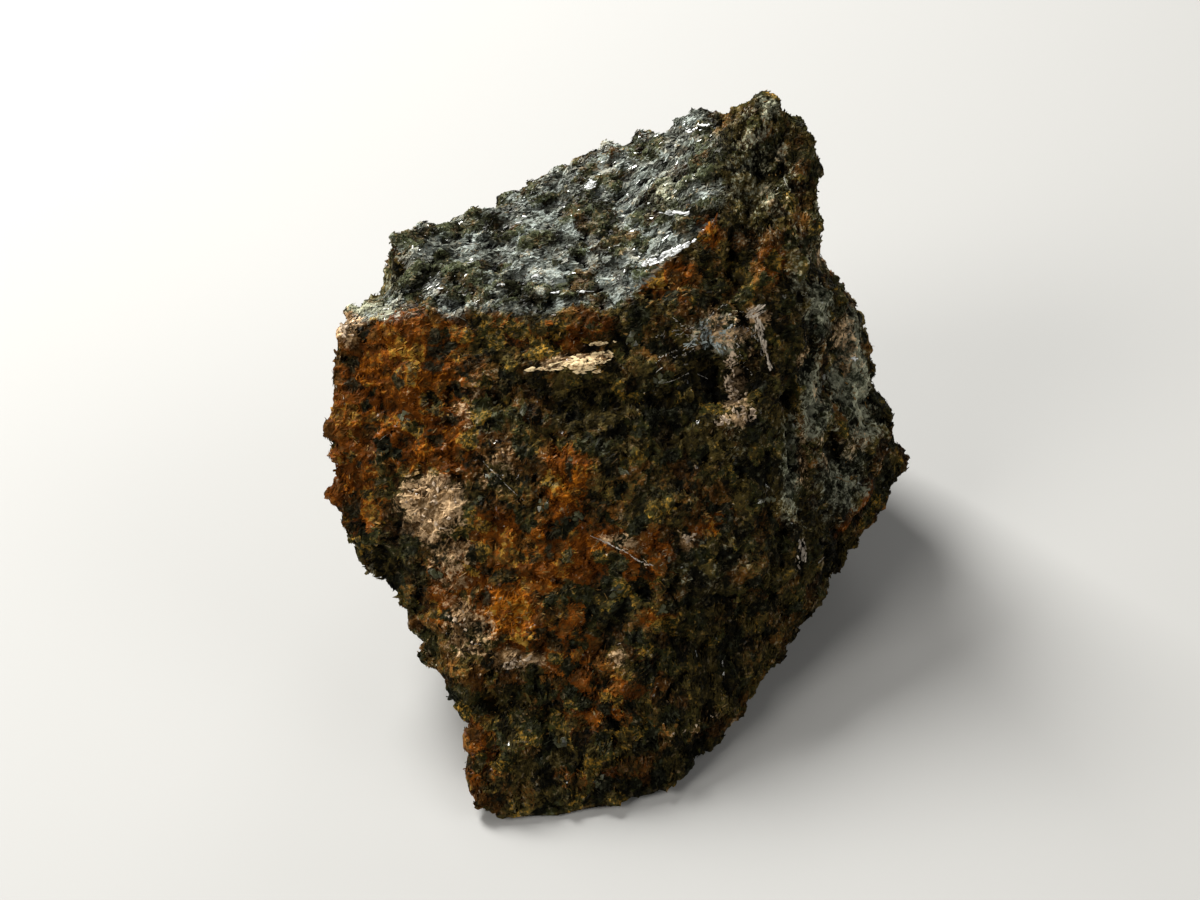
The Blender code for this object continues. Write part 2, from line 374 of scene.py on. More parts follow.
# stains by pixel of the photograph: across, down, half width, half height, turn in degrees, strength
stainPlaces = {
    "rust": {
        "upperLeft": (398, 380, 92, 100, 0, 0.88), "leftEdge": (352, 480, 40, 80, 0, 0.85),
        "belowLeft": (430, 445, 60, 50, 0, 0.8), "redPatch": (567, 487, 28, 52, 0, 1.15),
        "brightStain": (507, 610, 46, 34, 10, 1.2), "lowMiddle": (560, 560, 80, 50, 20, 0.75),
        "underRidge": (672, 284, 40, 24, 20, 0.85), "ridgeSpot": (706, 230, 16, 18, 0, 1.0),
        "footLeft": (482, 740, 34, 80, 0, 0.5), "streaks": (545, 333, 100, 24, 0, 0.52),
        "middle": (550, 640, 70, 50, 0, 0.65), "arc": (650, 560, 50, 40, 0, 0.6),
        "rightSpot": (712, 522, 30, 14, 10, 0.95), "footMiddle": (600, 700, 80, 50, 0, 0.5),
        "smallArc": (660, 610, 28, 16, 0, 0.7), "lowerLeft": (450, 590, 40, 50, 0, 0.8),
        "peakSide": (774, 258, 16, 22, 0, 0.50), "shoulder": (812, 420, 18, 26, 0, 0.4),
        "centre": (500, 530, 50, 40, 0, 0.6), "footFront": (610, 780, 60, 24, 0, 0.4),
        "peakTop": (772, 135, 14, 12, 0, 0.45), "ridgeBand": (600, 310, 100, 18, 0, 0.25),
    },
    "pale": {
        "leftPatch": (434, 508, 42, 44, 0, 1.15), "leftTail": (447, 565, 34, 50, -10, 0.7),
        "lowerPatch": (468, 625, 34, 44, 0, 0.8), "lowerWhite": (517, 663, 30, 13, 0, 1.15),
        "shelfCorner": (342, 322, 18, 26, 0, 1.0), "veinWeb": (724, 332, 56, 28, 0, 0.76),
        "cream": (575, 363, 38, 9, 6, 1.2), "veinTail": (735, 392, 20, 50, 5, 0.85),
        "veinKnob": (757, 314, 12, 11, 0, 1.2), "rightBead": (688, 540, 13, 10, 0, 1.1),
        "veinFoot": (728, 420, 18, 8, 0, 1.2), "lowMiddle": (620, 660, 20, 12, 0, 0.7),
        "shoulderSeam": (802, 470, 12, 50, 5, 0.6), "middle": (500, 470, 30, 36, 0, 0.5),
        "shoulderTop": (845, 345, 30, 50, 0, 0.7), "threads": (625, 545, 40, 8, -35, 0.7),
        "lowerRidge": (700, 722, 46, 10, 25, 0.5), "upperMiddle": (470, 400, 24, 36, 0, 0.45),
        "ridgeRight": (690, 290, 20, 14, 0, 0.5), "shoulderLow": (850, 440, 30, 40, 0, 0.4),
        "peakMiddle": (770, 180, 20, 60, 0, 0.45),
    },
    "grey": {
        "shoulder": (850, 380, 60, 90, 0, 1.1), "shoulderTop": (825, 300, 30, 50, 0, 1.1),
        "shoulderLeft": (815, 400, 26, 64, 0, 0.9), "tip": (770, 108, 16, 22, 0, 0.8),
        "seam": (792, 470, 16, 70, 4, 0.9), "lowerRidge": (700, 560, 60, 50, 0, 0.35),
        "shelf": (365, 312, 40, 14, 0, 0.8), "peakSide": (800, 270, 20, 50, 0, 0.5),
        "shoulderLow": (840, 480, 60, 50, 0, 0.85), "upperMiddle": (490, 410, 30, 40, 0, 0.35),
        "ridgeRight": (750, 440, 40, 60, 0, 0.3), "peak": (760, 180, 50, 80, 0, 0.55),
        "web": (716, 336, 34, 22, 0, 1.1), "plateauRight": (668, 195, 42, 34, 0, 0.6),
    },
    # painted shade, partly darker rock: hollows, holes and recesses, and the foot, the lower right and the
    # low shoulder that turn from the light
    "shadeAndDark": {
        "hollow": (722, 376, 40, 34, 0, 0.95), "hole": (698, 362, 13, 13, 0, 1.5),
        "slot": (760, 378, 13, 14, 0, 1.5), "underStreaks": (590, 405, 100, 45, 0, 0.85),
        "streaks": (550, 330, 80, 22, 0, 0.60), "rightMiddle": (665, 430, 60, 60, 0, 0.6),
        "lowerRight": (715, 645, 90, 80, 0, 0.9), "foot": (640, 770, 150, 50, 0, 0.75),
        "footLeft": (500, 775, 40, 60, 0, 0.45), "shoulderLow": (840, 520, 70, 80, 0, 0.45),
        "ledge": (510, 705, 60, 20, 0, 0.8), "peakFoot": (792, 345, 12, 70, 0, 0.7),
        "leftUnder": (352, 560, 12, 80, 20, 0.9), "peakLeft": (740, 180, 40, 70, 0, 0.6),
        "hollowRight": (765, 450, 30, 60, 0, 0.6),
    },
}

# hollows and swells in the same way, with their depth or height in mm as the strength
sunkPlaces = {
    "hollow": (722, 372, 36, 34, 0, 0.9), "underStreaks": (575, 398, 90, 18, 0, 0.6),
    "seam": (789, 430, 7, 60, 0, 0.8), "ledge": (505, 700, 50, 12, 12, 0.8),
    "rightMiddle": (668, 440, 40, 40, 0, 0.5), "lowerRight": (720, 640, 60, 50, 20, 0.6),
    "leftUnder": (390, 590, 20, 40, 30, 0.5), "centre": (520, 545, 30, 16, -30, 0.4),
    "peakGap": (738, 250, 12, 40, 0, 0.7), "peakPit": (760, 165, 12, 18, 0, 0.7),
    "peakSlot": (745, 205, 9, 26, 0, 0.6), "footGap": (560, 740, 16, 40, 20, 0.5),
    "upperLeft": (440, 400, 14, 40, 20, 0.4), "tipLeft": (732, 108, 10, 7, 30, 0.7),
    "peakNeck": (820, 200, 8, 18, 0, 0.6), "leftKnobHigh": (326, 425, 8, 8, 0, 0.35),
    "leftKnobLow": (328, 490, 8, 8, 0, 0.35), "right": (730, 480, 20, 30, 0, 0.5),
    "shoulder": (835, 440, 20, 26, 0, 0.5), "middle": (610, 640, 26, 20, 0, 0.4),
}
raisedPlaces = {
    "streaks": (560, 325, 90, 16, 2, 0.4), "cream": (578, 362, 34, 12, 5, 0.3),
    "patch": (434, 506, 36, 36, 0, 0.35), "redPatch": (567, 487, 24, 44, 0, 0.3),
    "footRidge": (702, 721, 44, 8, 25, 0.7), "brightStain": (510, 612, 36, 26, 0, 0.35),
    "upperLeft": (395, 370, 30, 40, 0, 0.4), "leftMiddle": (375, 440, 24, 30, 0, 0.2),
    "bulge": (640, 540, 30, 40, 0, 0.5), "tip": (768, 98, 13, 10, 0, 0.9),
    "peakBulge": (820, 146, 10, 16, 0, 0.6), "leftDent": (338, 455, 9, 8, 0, 0.7),
    "knob": (754, 322, 16, 14, 0, 0.5), "right": (760, 560, 24, 30, 0, 0.5),
    "low": (600, 700, 40, 24, 0, 0.4), "peakLeft": (722, 150, 14, 24, 0, 0.4),
    "peakRight": (782, 200, 12, 40, 0, 0.5), "peakFront": (760, 270, 16, 30, 0, 0.4),
    "shoulder": (850, 380, 24, 40, 0, 0.5), "shoulderLow": (838, 500, 24, 26, 0, 0.4),
    "footLeft": (490, 760, 24, 40, 0, 0.4),
}

# where each kind of face begins and is whole: heights and places in mm, facings as a share of 1
groundSetup = {
    "topFacing": (0.64, 0.80), "topHeight": (22.6, 23.6), "topEdge": (-0.35, 0.25),
    "edgeStart": 3.2, "edgeSlope": 0.85,  # the plateau's front edge along y, farther back to the right
    "ridgeAcross": (5.6, 7.2), "ridgeLean": 0.25, "ridgeHeight": (26, 29),  # the plateau's right end
    "peakHeight": (26.5, 29.0), "peakAcross": (3.5, 6.0),
    "frontFacing": (0.45, 0.70), "frontLean": (0.1, 0.3), "lowHeight": (6.5, 9.5),
}
# the two ways in which the fibres run
foliation = np.array((0.93, 0.34, 0.05))
steep = np.array((0.0, 0.55, 0.84))


def readGround(points, facing):
    # which kind of face each point is on, from 0 to 1
    where = groundSetup
    across, along, height = points.T
    edge = where["edgeStart"] + where["edgeSlope"] * np.clip(across + 1, 0, None)
    ragged = 0.5 * softNoise(points, 1.4, 6)[:, 0]
    top = ramp(facing[:, 2], *where["topFacing"]) * ramp(height, *where["topHeight"])
    top *= ramp(along - edge + ragged, *where["topEdge"])
    ridge = ramp(across + where["ridgeLean"] * (height - 30), *where["ridgeAcross"])
    top *= 1 - ridge * ramp(height, *where["ridgeHeight"])
    peak = ramp(height, *where["peakHeight"]) * ramp(across, *where["peakAcross"]) * (1 - top)
    front = ramp(facing @ toward, *where["frontFacing"]) * (1 - top)
    front *= ramp(-facing[:, 1], *where["frontLean"])
    low = front * (1 - ramp(height + 1.5 * softNoise(points, 4.0, 5)[:, 0], *where["lowHeight"]))
    side = np.clip(1 - front - top, 0, 1)
    # dark lumps: drawn out along the foliation on the top, and round elsewhere
    long = banded(points, 1.25, 1.9, foliation, 61) + 0.5 * banded(points, 0.7, 1.5, foliation, 62)
    short = softNoise(points, 1.1, 63)[:, 0] + 0.5 * softNoise(points, 0.6, 64)[:, 0]
    lump = top * ramp(long, -0.05, 0.35) + (1 - top) * ramp(short, -0.1, 0.5)
    return {"top": top, "peak": peak, "front": front, "low": low, "side": side, "lump": lump}


def grainAt(points, facing, ground):
    # the way that the fibres run, along the surface
    upright = np.clip(0.35 + 0.65 * ground["low"] + 0.65 * ground["peak"] + 0.4 * ground["side"], 0, 1)
    upright *= 1 - ground["top"]
    upright *= 1 - 0.8 * ramp(points[:, 2], 22.5, 24.5) * (1 - ground["peak"])
    way = upright[:, None] * steep + (1 - upright)[:, None] * foliation
    way = way + 0.6 * softNoise(points, 3.5, 71) * (1 - 0.5 * ground["top"])[:, None]
    way -= (way * facing).sum(axis=1, keepdims=True) * facing
    return way / (np.linalg.norm(way, axis=1, keepdims=True) + 1e-9)


# the stone's own skin, in mm

stoneSetup = {
    "voxel": 0.27,
    # how high each kind of relief stands; the facets' is their steepness
    "heights": {"Swell": 0.9, "Knob": 0.40, "Facet": 0.34, "SmallFacet": 0.26, "Crack": 0.26, "Chip": 0.22,
                "Crumb": 0.22, "Fibre": 0.15, "Pit": 0.42, "Sheet": 0.22, "Lump": 0.26},
    # how wide it is, and how thick the sheets are
    "sizes": {"bend": 1.1, "swell": 5.0, "knob": 2.2, "facet": 2.3, "smallFacet": 1.05, "crack": 2.1,
              "chip": 0.95, "smallChip": 0.5, "crumb": 0.75, "fibre": 0.42, "pit": 1.7, "sheet": 0.34},
}
# the heights in mm over which the tip gets rounder and calmer, and its blades shorter and fewer
tipSetup = {
    "round": (33.2, 34.6), "rounds": 30, "calm": (34.6, 35.6), "short": (33.2, 34.8), "few": (34.8, 35.8)}


def reliefTree(material):
    size = stoneSetup["sizes"]
    web, given, close = geometryTree("stoneRelief", stoneSetup["heights"])
    place = web.add("GeometryNodeInputPosition")
    normal = web.add("GeometryNodeInputNormal")
    top, peak, lump = (web.field(name) for name in ("top", "peak", "lump"))
    grain = web.field("grain", "FLOAT_VECTOR")
    bent = web.bend(place, place, size["bend"], 0.8)

    def tilted(wide):
        # each cell of the surface is a flat face tilted its own way; the height comes in mm
        way = web.vector("SUBTRACT", web.cells(bent, wide, out="Color"), (0.5, 0.5, 0.5))
        away = web.vector("SUBTRACT", bent, web.cells(bent, wide, out="Position"))
        return web.dot(away, way) / mm

    facet = tilted(size["facet"]) * given["Facet"] + tilted(size["smallFacet"]) * given["SmallFacet"]
    chip = web.dot(web.cells(bent, size["chip"], out="Color"), (0.7, 0.0, 0.0)) - 0.5
    chip = chip + web.dot(web.cells(bent, size["smallChip"], out="Color"), (0.0, 0.6, 0.0))
    crumb = web.noise(place, size["crumb"], 4.0, 0.6) - 0.5
    knob = web.noise(bent, size["knob"], 2.0, 0.5) - 0.5
    swell = web.noise(bent, size["swell"], 1.0, 0.5) - 0.5
    edge = web.cells(bent, size["crack"], "DISTANCE_TO_EDGE") + web.noise(place, 2.6, 1.0) * 0.5 - 0.25
    crack = 1 - web.step(edge, 0.04, 0.18)

    # noise drawn out along the grain makes fibres
    along = web.stretch(grain, web.dot(place, grain) * 0.84)
    fibre = web.noise(web.vector("SUBTRACT", place, along), size["fibre"], 2.0, 0.5) - 0.5

    pitLuck = web.dot(web.cells(bent, size["pit"], out="Color"), (0.0, 1.0, 0.0))
    pit = (1 - web.step(web.cells(bent, size["pit"]), 0.14, 0.34)) * web.step(pitLuck, 0.5, 0.6)
    pit = pit * (1 - web.field("pale") * 0.7)

    # thin sheets of the top, which end in steps
    thick = size["sheet"] * mm
    rise = web.dot(bent, (-0.34 / thick, 0.93 / thick, 0.0)) * 0.45
    rise = rise + web.noise(place, 3.0, 2.0) * 3
    sheet = web.sum("FLOOR", rise) - rise + 0.5

    lift = chip * given["Chip"] * (1 + peak * 0.8) + knob * given["Knob"]
    lift = lift + facet + web.field("swell") + swell * given["Swell"] - crack * given["Crack"]
    lift = lift + crumb * given["Crumb"] * (1 + peak * 0.6)
    lift = lift + fibre * given["Fibre"] * (1 + peak)
    lift = lift - pit * given["Pit"] * (0.6 + peak * 0.4)
    lift = lift + sheet * given["Sheet"] * top * (1 - lump)
    lift = lift + (lump - 0.5) * given["Lump"] * (0.6 + top * 0.6 + peak * 0.4)
    lift = lift * web.field("free") * mm
    moved = web.add("GeometryNodeSetPosition", None,
                    {"Geometry": given["Geometry"], "Offset": web.stretch(normal, lift)})
    return close(moved, material)


def coatFields(mesh):
    # stores on the mesh what its relief, blades and colours go by
    points, normals = vertexArrays(mesh)
    height = points[:, 2]
    softPoints = softened(mesh, points, 10)
    facing = softened(mesh, normals, 14)
    facing /= np.linalg.norm(facing, axis=1, keepdims=True)
    ground = readGround(softPoints, facing)
    ground["deep"] = ((softPoints - points) * facing).sum(axis=1)  # mm below the smooth surface
    ground["free"] = ramp(height, 0.15, 0.9) * (1 - 0.35 * ramp(height, *tipSetup["calm"]))
    ground["stub"] = 1 - 0.55 * ramp(-ground["deep"], 0.08, 0.40)  # shorter blades on sharp corners
    ground["stub"] *= 1 - 0.35 * ramp(height, *tipSetup["short"])
    for number, (name, places) in enumerate(stainPlaces.items()):
        ground[name] = stain(points, places, 20 + 3 * number, 0.55)
    ground["swell"] = stain(points, raisedPlaces, 51, 0.5) - stain(points, sunkPlaces, 55, 0.5)
    # stains on the sides that the photograph doesn't show
    cloud = softNoise(points, 9.0, 81)
    patch = softNoise(points, 3.5, 82)
    for name, most, spread in (("rust", 0.8, ramp(cloud[:, 0], 0.15, 0.6)),
                               ("pale", 0.6, ramp(patch[:, 0], 0.3, 0.7)),
                               ("grey", 0.5, ramp(cloud[:, 1], -0.3, 0.6))):
        ground[name] = np.maximum(ground[name], ground["side"] * most * spread)
    for name, values in ground.items():
        storeField(mesh, name, values)
    storeField(mesh, "grain", grainAt(points, facing, ground))
    leaning = softened(mesh, normals, 3)
    storeField(mesh, "facing", leaning / np.linalg.norm(leaning, axis=1, keepdims=True))
    return points, ground


def roundTip(mesh):
    points, normals = vertexArrays(mesh)
    blunt = ramp(points[:, 2], *tipSetup["round"])[:, None]
    rounded = points + blunt * (softened(mesh, points, tipSetup["rounds"]) - points)
    mesh.vertices.foreach_set("co", (mm * rounded).ravel())


# finishes

stoneFinish = {
    "pitch": (0.0066, 0.0064, 0.0028, 1),
    "olive": (0.047, 0.034, 0.0090, 1),
    "brown": (0.080, 0.033, 0.0060, 1),
    "bottle": (0.024, 0.025, 0.0065, 1),
    "dust": (0.140, 0.108, 0.060, 1),
    "honey": (0.150, 0.082, 0.0110, 1),
    "glass": (0.042, 0.044, 0.027, 1),
    "ochre": (0.20, 0.115, 0.022, 1),
    "rust": (0.106, 0.029, 0.0020, 1),
    "flame": (0.235, 0.072, 0.0040, 1),
    "tan": (0.150, 0.082, 0.030, 1),
    "blush": (0.355, 0.245, 0.138, 1),
    "moss": (0.031, 0.037, 0.019, 1),
    "iron": (0.080, 0.088, 0.070, 1),
    "sand": (0.142, 0.140, 0.112, 1),
    "steel": (0.134, 0.152, 0.140, 1),
    "lichen": (0.155, 0.158, 0.112, 1),
}

# the roughness of the smooth and the dull parts, the shine, and how many grains glint
stoneLooks = {
    "stoneSkin": {"onBlades": False, "rough": (0.45, 0.75), "shine": 0.03, "glints": 0.0},
    "bladeSkin": {"onBlades": True, "rough": (0.34, 0.64), "shine": 0.035, "glints": 0.0},
    "scaleSkin": {"onBlades": True, "rough": (0.32, 0.60), "shine": 0.19, "glints": 0.21},
}


def newMaterial(name):
    # a material, with its web and its shader
    material = bpy.data.materials.new(name)
    material.use_nodes = True
    return material, Web(material.node_tree), material.node_tree.nodes["Principled BSDF"]


def addBump(web, shader, place, size, strength):
    height = web.noise(place, size, 3.0, 0.6)
    bump = web.add("ShaderNodeBump", None, {"Strength": strength, "Distance": 0.05 * mm, "Height": height})
    web.plug(shader.inputs["Normal"], bump)


def stoneColour(web, place, luck, other):
    # the stone's colour from its stains; luck and other are each from 0 to 1 for a blade or grain
    tone = stoneFinish
    rust, pale, shadeAndDark, grey, top, lump, deep = (
        web.mark(name) for name in ("rust", "pale", "shadeAndDark", "grey", "top", "lump", "deep"))
    broad = web.noise(place, 5.0, 2.0, 0.6) * 2 - 1
    middle = web.noise(place, 1.6, 3.0, 0.65) * 2 - 1
    fine = web.noise(place, 0.35, 2.0, 0.65) * 2 - 1
    # crystals with wavy edges, and the seams between them
    warped = web.bend(web.bend(place, place, 0.8, 0.9), place, 0.22, 0.55)
    crystal = web.cells(warped, 1.2, out="Color")
    hue = web.dot(crystal, (1.0, 0.0, 0.0)) - 0.5
    glow = web.dot(crystal, (0.0, 1.0, 0.0)) - 0.5
    seam = 1 - web.step(web.cells(warped, 1.2, "DISTANCE_TO_EDGE") + fine * 0.05, 0.03, 0.20)
    speck = middle * 0.45 + fine * 0.50 + glow * 0.50 + (luck - 0.5) * 0.38
    blot = middle * 0.65 + fine * 0.35 + hue * 0.60 + (other - 0.5) * 0.35

    # the dark rock, olive, bottle green and brown
    colour = web.blend(web.step(speck, -0.35, 0.40), tone["pitch"], tone["olive"])
    bottled = web.step((other - 0.5) * 0.5 + fine * 0.3 - hue * 0.9 + middle * 0.2, 0.10, 0.40)
    colour = web.blend(bottled * 0.85, colour, tone["bottle"])
    browned = web.step(blot + broad * 0.6 + rust * 0.6 - shadeAndDark * 0.3, 0.05, 0.50)
    colour = web.blend(browned, colour, tone["brown"])

    # rust, and what it leaves: orange, honey, dark glass and ochre specks
    seamed = seam * web.step(rust, 0.1, 0.6)
    rusted = web.step(rust * 0.85 + blot * 1.1 + seamed * 0.45, 0.55, 1.05)
    colour = web.blend(rusted, colour, tone["rust"])
    flamed = web.step(rust * 0.80 + speck * 1.1 + seamed * 0.15, 0.85, 1.20)
    colour = web.blend(flamed, colour, tone["flame"])
    yellowed = web.step(rust * 0.30 + glow * 0.8 + fine * 1.0 - hue * 0.5 + (luck - 0.5) * 0.5, 0.55, 0.90)
    colour = web.blend(yellowed * (1 - top), colour, tone["honey"])
    glassed = web.step(hue * -1.1 - glow * 0.5 + middle * 0.3 + fine * 0.5 + (other - 0.5) * 0.35, 0.30, 0.55)
    glassed = glassed * (1 - seam) * (1 - top)
    glassy = web.blend(web.step(fine * 0.8 + (luck - 0.5) * 0.8, -0.3, 0.45), tone["pitch"], tone["glass"])
    colour = web.blend(glassed * 0.85, colour, glassy)
    speckled = web.step(speck - middle * 0.3 - shadeAndDark * 0.25 + rust * 0.08, 0.48, 0.66)
    colour = web.blend(speckled * (1 - top * 0.6), colour, tone["ochre"])

    # the top: moss-dark lumps in steel
    mossy = web.blend(web.step(speck, -0.35, 0.25), tone["pitch"], tone["moss"])
    colour = web.blend(top * (1 - rusted) * (0.85 - browned * 0.35), colour, mossy)
    steely = top * web.step(fine * 0.5 + glow * 0.5 + (luck - 0.5) * 0.9 - lump * 1.15, -0.76, 0.04)
    steel = web.blend(web.step(blot, -0.1, 0.3), tone["steel"], tone["sand"])
    colour = web.blend(steely, colour, web.blend(web.step(speck, -0.35, 0.30), tone["iron"], steel))

    # grey, dusty and pale stains
    greyed = web.step(grey + blot * 0.7 + fine * 0.5 + (luck - 0.5) * 0.4, 0.40, 0.95)
    colour = web.blend(greyed, colour, web.blend(web.step(speck, -0.35, 0.15), tone["moss"], tone["lichen"]))
    dusty = web.step(other * 0.5 - luck * 0.3 + fine * 0.7 + middle * 0.3, 0.42, 0.62) * (1 - rusted)
    colour = web.blend(dusty * (1 - shadeAndDark * 0.4), colour, tone["dust"])
    paled = web.step(pale * 1.0 + blot * 0.6 + fine * 0.4 + (luck - 0.5) * 0.15, 0.50, 0.95)
    colour = web.blend(paled, colour, web.blend(web.step(speck, -0.3, 0.3), tone["tan"], tone["blush"]))

    # soot, and painted light and shade: darker in the shade stains and in hollows, lighter on raised edges
    # and on the top; stained places vary less
    calm = web.step(rust + pale, 0.3, 1.0)
    sooty = web.step(middle * 0.3 - speck, 0.40, 0.60)
    colour = web.blend(sooty * (0.85 - calm * 0.25 - pale * 0.40), colour, tone["pitch"])
    swing = 1.15 - calm * 0.30 - top * 0.40
    shade = 1 - swing * 0.48 + web.step(glow * 0.9 + (luck - 0.5) * 0.50 + fine * 0.45, -0.5, 0.7) * swing
    # painted shade: darker in the shade stains and in hollows below the smooth surface
    shade = shade * (1 - shadeAndDark * 0.50) * (1 - web.step(deep, -0.02, 0.26) * (0.88 - calm * 0.35))
    # painted highlight: raised edges lighter
    shade = shade * (1 + web.step(deep * -1, 0.04, 0.24) * (0.42 - calm * 0.3))
    # painted light: the top lighter; the grey stains are a lighter tone
    shade = shade * (1 + top * 0.30 + grey * 0.30)
    return web.dim(colour, shade)


def stoneMaterial(name):
    look = stoneLooks[name]
    material, web, shader = newMaterial(name)
    place = web.add("ShaderNodeTexCoord", None, None, "Object")
    if look["onBlades"]:
        luck = web.mark("luck")
        other = web.mark("other")
    else:
        grains = web.cells(web.bend(place, place, 0.5, 0.4), 0.36, out="Color")
        luck = web.dot(grains, (1.0, 0.0, 0.0))
        other = web.dot(grains, (0.0, 1.0, 0.0))
    web.plug(shader.inputs["Base Color"], stoneColour(web, place, luck, other))
    smooth, dull = look["rough"]
    rough = smooth + (dull - smooth) * web.step(web.noise(place, 0.9, 2.0) + other * 0.3, 0.4, 0.85)
    web.plug(shader.inputs["Roughness"], rough)
    shader.inputs["Specular IOR Level"].default_value = look["shine"]
    glint = web.step(luck + other * 0.3, 1.20 - look["glints"], 1.25 - look["glints"])
    web.plug(shader.inputs["Coat Weight"], glint * 0.7)
    shader.inputs["Coat Roughness"].default_value = 0.12
    addBump(web, shader, place, 0.16, 0.6)
    return material


# blades and scales

def addPrism(form, lucky):
    # three sides and slanted ends
    rings = []
    for end, taper in ((-0.35, lucky.uniform(0.7, 1.0)), (0.65, lucky.uniform(0.25, 0.8))):
        ring = []
        for corner in range(3):
            turn = 2 * math.pi * (corner + lucky.uniform(-0.15, 0.15)) / 3
            along = end + lucky.uniform(-0.12, 0.12)
            ring.append(form.verts.new((along, 0.5 * taper * math.cos(turn), 0.5 * taper * math.sin(turn))))
        rings.append(ring)
    first, last = rings
    for corner in range(3):
        after = (corner + 1) % 3
        form.faces.new((first[corner], first[after], last[after], last[corner]))
    form.faces.new(first[::-1])
    form.faces.new(last)


def addGrain(form, lucky):
    # a stubby double pyramid
    ends = [form.verts.new((end, *lucky.uniform(-0.2, 0.2, 2))) for end in (-0.5, 0.5)]
    ring = []
    for corner in range(4):
        turn = math.pi * (corner + lucky.uniform(-0.2, 0.2)) / 2
        reach = 0.55 * lucky.uniform(0.8, 1.1)
        along = lucky.uniform(-0.25, 0.25)
        ring.append(form.verts.new((along, reach * math.cos(turn), reach * math.sin(turn))))
    for corner in range(4):
        after = ring[(corner + 1) % 4]
        form.faces.new((ring[corner], after, ends[1]))
        form.faces.new((after, ring[corner], ends[0]))


def chipShapes():
    # shapes 0 to 2 are prisms and 3 to 6 grains, one unit long, as one collection
    shelf = bpy.data.collections.new("chips")
    lucky = np.random.default_rng(3)
    for number in range(7):
        form = bmesh.new()
        if number < 3:
            addPrism(form, lucky)
        else:
            addGrain(form, lucky)
        bmesh.ops.recalc_face_normals(form, faces=form.faces)
        name = f"chip{number}"
        shelf.objects.link(bpy.data.objects.new(name, meshFrom(form, name)))
    return shelf


def laidShapes(web, shelf, given, points, way, facing, size, step):
    # a shape from the shelf on each point, drawn by luck, with its length along the way
    shapes = web.add("GeometryNodeCollectionInfo", None,
                     {"Collection": shelf, "Separate Children": True, "Reset Children": True})
    pick = web.luck(given["FirstShape"], given["LastShape"], given["Seed"] + step, "INT")
    turn = web.add("FunctionNodeAxesToRotation", {"primary_axis": "X", "secondary_axis": "Z"},
                   {"Primary Axis": way, "Secondary Axis": facing})
    return web.add("GeometryNodeInstanceOnPoints", None, {
        "Points": points, "Instance": shapes, "Pick Instance": True, "Instance Index": pick,
        "Rotation": turn, "Scale": size})


def scatterTree(shelf, material):
    # blades scattered over the faces, each by its share
    floats = ("PerArea", "ShortLength", "LongLength", "ThinWidth", "ThickWidth", "Flatness", "Spread", "Lift",
              "Sink")
    web, given, close = geometryTree("scatterBlades", floats, ("FirstShape", "LastShape", "Seed"))
    everyWay = ((-1.0, -1.0, -1.0), (1.0, 1.0, 1.0))

    def luck(low, high, step, kind="FLOAT"):
        return web.luck(low, high, given["Seed"] + step, kind)

    dense = web.field("share") * given["PerArea"]
    points = web.add("GeometryNodeDistributePointsOnFaces", None,
                     {"Mesh": given["Geometry"], "Density": dense, "Seed": given["Seed"]}, "Points")
    facing = web.field("facing", "FLOAT_VECTOR")
    stray = luck(*everyWay, 1, "FLOAT_VECTOR")
    inward = web.stretch(facing, web.dot(stray, facing))
    stray = web.stretch(web.vector("SUBTRACT", stray, inward), given["Spread"])
    lift = web.stretch(facing, given["Lift"] * luck(-0.25, 1.0, 2))
    way = web.vector("ADD", web.vector("ADD", web.field("grain", "FLOAT_VECTOR"), stray), lift)
    roll = web.vector("ADD", facing, web.stretch(luck(*everyWay, 3, "FLOAT_VECTOR"), 0.7))
    long = luck(given["ShortLength"], given["LongLength"], 4) * web.field("stub")
    wide = luck(given["ThinWidth"], given["ThickWidth"], 5)
    size = web.add("ShaderNodeCombineXYZ", None,
                   {0: long * mm, 1: wide * mm, 2: wide * given["Flatness"] * mm})
    sunk = web.add("GeometryNodeSetPosition", None,
                   {"Geometry": points, "Offset": web.stretch(facing, given["Sink"] * -mm)})
    laid = laidShapes(web, shelf, given, sunk, way, roll, size, 6)
    for name, step in (("luck", 7), ("other", 8)):
        laid = web.add("GeometryNodeStoreNamedAttribute", {"data_type": "FLOAT", "domain": "INSTANCE"},
                       {"Geometry": laid, "Name": name, "Value": luck(0.0, 1.0, step)})
    return close(laid, material)


def faceArea(mesh, share):
    # the mesh's area in square metres, each face weighed by its share
    mesh.calc_loop_triangles()
    corners = readRows(mesh.loop_triangles, "vertices", 3, np.int32)
    areas = readRows(mesh.loop_triangles, "area", 1)[:, 0]
    return float((areas * share[corners].mean(axis=1)).sum())


def scatter(name, ground, share, setup, shelf, material):
    mesh = ground.copy()
    storeField(mesh, "share", np.clip(share, 0, None))
    values = {label.capitalize(): value for label, value in setup.items()}
    values["PerArea"] = setup["count"] / faceArea(mesh, share)
    values["ShortLength"], values["LongLength"] = setup["length"]
    values["ThinWidth"], values["ThickWidth"] = setup["width"]
    values["FirstShape"], values["LastShape"] = setup["shapes"]
    piece = grown(newPiece(name, mesh), scatterTree(shelf, material), values)
    mesh = piece.data
    points = readRows(mesh.vertices, "co")
    points[:, 2] = np.maximum(points[:, 2], 0.02 * mm)  # none below the floor
    mesh.vertices.foreach_set("co", points.ravel())
    mesh.update()
    print(name, triangleCount(mesh), "triangles")
    return piece


